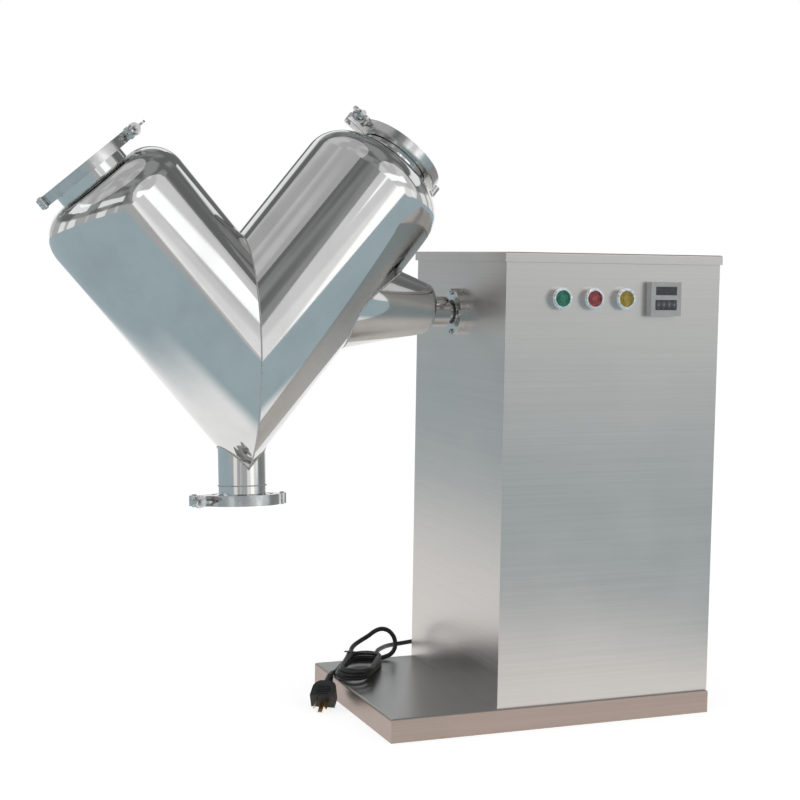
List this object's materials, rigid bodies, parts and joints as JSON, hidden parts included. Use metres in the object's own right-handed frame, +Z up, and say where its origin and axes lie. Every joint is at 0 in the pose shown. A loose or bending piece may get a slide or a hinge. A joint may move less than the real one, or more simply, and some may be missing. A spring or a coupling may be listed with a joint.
{
  "type": "v blender",
  "caption": "Powder blender with a polished V-shaped drum on one trunnion beside a stainless cabinet, with clamped ports and a push-button and timer panel.",
  "frame": {"origin": "middle of the base's underside, on the floor", "axes": "+X from the drum towards the cabinet along the main shaft, +Y from the operator's side to the back, +Z up"},
  "size_m": [0.9434, 0.3941, 0.8662],
  "materials": {
    "brushed_sheet": "fine brushed stainless sheet",
    "polished_steel": "mirror-polished stainless steel",
    "cast_stainless": "satin cast stainless steel",
    "chrome": "bright chrome plate",
    "painted_steel": "grey primer",
    "cast_iron": "green enamel over cast iron",
    "cast_aluminium": "grey-painted cast aluminium",
    "machined_steel": "ground bar and zinc-plated screws",
    "silicone": "white silicone",
    "black_rubber": "black cord and moulded plug",
    "brass": "bare brass plug pins",
    "green_plastic": "green translucent cap",
    "red_plastic": "red translucent cap",
    "yellow_plastic": "yellow translucent cap",
    "window_plastic": "dark red display window",
    "white_plastic": "white digit wheels",
    "black_plastic": "black moulding"
  },
  "bodies": {
    "frame": {"base_frame": "painted_steel", "base_tray": "brushed_sheet", "cabinet_shell": "brushed_sheet", "back_panel": "brushed_sheet", "back_panel_screws": "machined_steel", "lid": "brushed_sheet", "bearing_stand": "painted_steel", "drive_bolts": "machined_steel", "pillow_blocks": "cast_iron", "wall_flange": "polished_steel", "wall_flange_screws": "machined_steel", "shaft_seal": "black_rubber", "gearbox_housing": "cast_aluminium", "motor_housing": "cast_aluminium", "motor_rear_shield": "cast_aluminium", "fan_cover": "black_plastic", "control_gear": "black_plastic", "button_bezels": "chrome", "button_blocks": "black_plastic", "timer_case": "black_plastic", "timer_window": "window_plastic", "cable_gland": "black_plastic", "cord_lead": "black_rubber", "cord_hank": "black_rubber", "cord_tail": "black_rubber", "cord_tie": "black_plastic", "plug_body": "black_rubber", "plug_pins": "brass"},
    "drum": {"main_shaft": "machined_steel", "bearing_inner_rings": "machined_steel", "gearbox_output_sleeve": "machined_steel", "trunnion_cone": "polished_steel", "hub_sleeve": "polished_steel", "hub_screws": "machined_steel", "drum_shell": "polished_steel", "charging_necks": "polished_steel", "discharge_spout": "polished_steel", "ferrule_gaskets": "silicone", "ferrule_caps": "polished_steel", "clamp_front_halves": "cast_stainless", "clamp_rear_halves": "cast_stainless", "clamp_pins": "cast_stainless"},
    "motor_rotor": {"motor_rotor": "machined_steel", "motor_fan": "black_plastic"},
    "green_button": {"green_button": "green_plastic"},
    "red_button": {"red_button": "red_plastic"},
    "yellow_button": {"yellow_button": "yellow_plastic"},
    "thousands_wheel": {"thousands_wheel": "white_plastic"},
    "hundreds_wheel": {"hundreds_wheel": "white_plastic"},
    "tens_wheel": {"tens_wheel": "white_plastic"},
    "units_wheel": {"units_wheel": "white_plastic"},
    "left_swing_bolt": {"left_swing_bolt": "cast_stainless"},
    "left_washer": {"left_washer": "cast_stainless"},
    "left_wing_nut": {"left_wing_nut": "cast_stainless"},
    "right_swing_bolt": {"right_swing_bolt": "cast_stainless"},
    "right_washer": {"right_washer": "cast_stainless"},
    "right_wing_nut": {"right_wing_nut": "cast_stainless"},
    "spout_swing_bolt": {"spout_swing_bolt": "cast_stainless"},
    "spout_washer": {"spout_washer": "cast_stainless"},
    "spout_wing_nut": {"spout_wing_nut": "cast_stainless"}
  },
  "joints": [
    {"name": "drum_spin", "type": "hinge", "parent": "frame", "child": "drum", "pos_m": [0, 0, 0.579], "axis": [1, 0, 0], "continuous": true},
    {"name": "motor_spin", "type": "hinge", "parent": "frame", "child": "motor_rotor", "pos_m": [0.13664, 0.05, 0.4], "axis": [0, 0, 1], "continuous": true},
    {"name": "green_button_press", "type": "slide", "parent": "frame", "child": "green_button", "axis": [0, 1, 0], "range_m": [0, 0.004], "stiffness_N_per_m": 800, "springref_m": -0.001},
    {"name": "red_button_press", "type": "slide", "parent": "frame", "child": "red_button", "axis": [0, 1, 0], "range_m": [0, 0.004], "stiffness_N_per_m": 800, "springref_m": -0.001},
    {"name": "yellow_button_press", "type": "slide", "parent": "frame", "child": "yellow_button", "axis": [0, 1, 0], "range_m": [0, 0.004], "stiffness_N_per_m": 800, "springref_m": -0.001},
    {"name": "thousands_wheel_turn", "type": "hinge", "parent": "frame", "child": "thousands_wheel", "pos_m": [0.1535, -0.1645, 0.5953], "axis": [1, 0, 0], "continuous": true},
    {"name": "hundreds_wheel_turn", "type": "hinge", "parent": "frame", "child": "hundreds_wheel", "pos_m": [0.1535, -0.1645, 0.5953], "axis": [1, 0, 0], "continuous": true},
    {"name": "tens_wheel_turn", "type": "hinge", "parent": "frame", "child": "tens_wheel", "pos_m": [0.1535, -0.1645, 0.5953], "axis": [1, 0, 0], "continuous": true},
    {"name": "units_wheel_turn", "type": "hinge", "parent": "frame", "child": "units_wheel", "pos_m": [0.1535, -0.1645, 0.5953], "axis": [1, 0, 0], "continuous": true},
    {"name": "left_bolt_swing", "type": "hinge", "parent": "drum", "child": "left_swing_bolt", "pos_m": [-0.56445, 0.03561, 0.81761], "axis": [-0.6428, 0.0721, 0.7626], "range_deg": [0, 90]},
    {"name": "left_washer_slide", "type": "slide", "parent": "left_swing_bolt", "child": "left_washer", "axis": [0, -0.9956, 0.0941], "range_m": [0, 0.0076]},
    {"name": "left_nut_turn", "type": "hinge", "parent": "left_washer", "child": "left_wing_nut", "pos_m": [-0.56445, 0.03561, 0.81761], "axis": [0, 0.9956, -0.0941], "range_deg": [0, 2160]},
    {"name": "right_bolt_swing", "type": "hinge", "parent": "drum", "child": "right_swing_bolt", "pos_m": [-0.24527, 0.03879, 0.85117], "axis": [-0.6428, -0.0721, -0.7626], "range_deg": [0, 90]},
    {"name": "right_washer_slide", "type": "slide", "parent": "right_swing_bolt", "child": "right_washer", "axis": [0, -0.9956, 0.0941], "range_m": [0, 0.0076]},
    {"name": "right_nut_turn", "type": "hinge", "parent": "right_washer", "child": "right_wing_nut", "pos_m": [-0.24527, 0.03879, 0.85117], "axis": [0, 0.9956, -0.0941], "range_deg": [0, 2160]},
    {"name": "spout_bolt_swing", "type": "hinge", "parent": "drum", "child": "spout_swing_bolt", "pos_m": [-0.484, -0.01148, 0.31943], "axis": [0, -0.0941, -0.9956], "range_deg": [0, 90]},
    {"name": "spout_washer_slide", "type": "slide", "parent": "spout_swing_bolt", "child": "spout_washer", "axis": [0, -0.9956, 0.0941], "range_m": [0, 0.0076]},
    {"name": "spout_nut_turn", "type": "hinge", "parent": "spout_washer", "child": "spout_wing_nut", "pos_m": [-0.484, -0.01148, 0.31943], "axis": [0, 0.9956, -0.0941], "range_deg": [0, 2160]}
  ],
  "couplings": [
    {"joint": "motor_spin", "follows": "drum_spin", "ratio": 40},
    {"joint": "left_washer_slide", "follows": "left_nut_turn", "m_per_rad": 0.00019894},
    {"joint": "right_washer_slide", "follows": "right_nut_turn", "m_per_rad": 0.00019894},
    {"joint": "spout_washer_slide", "follows": "spout_nut_turn", "m_per_rad": 0.00019894}
  ]
}
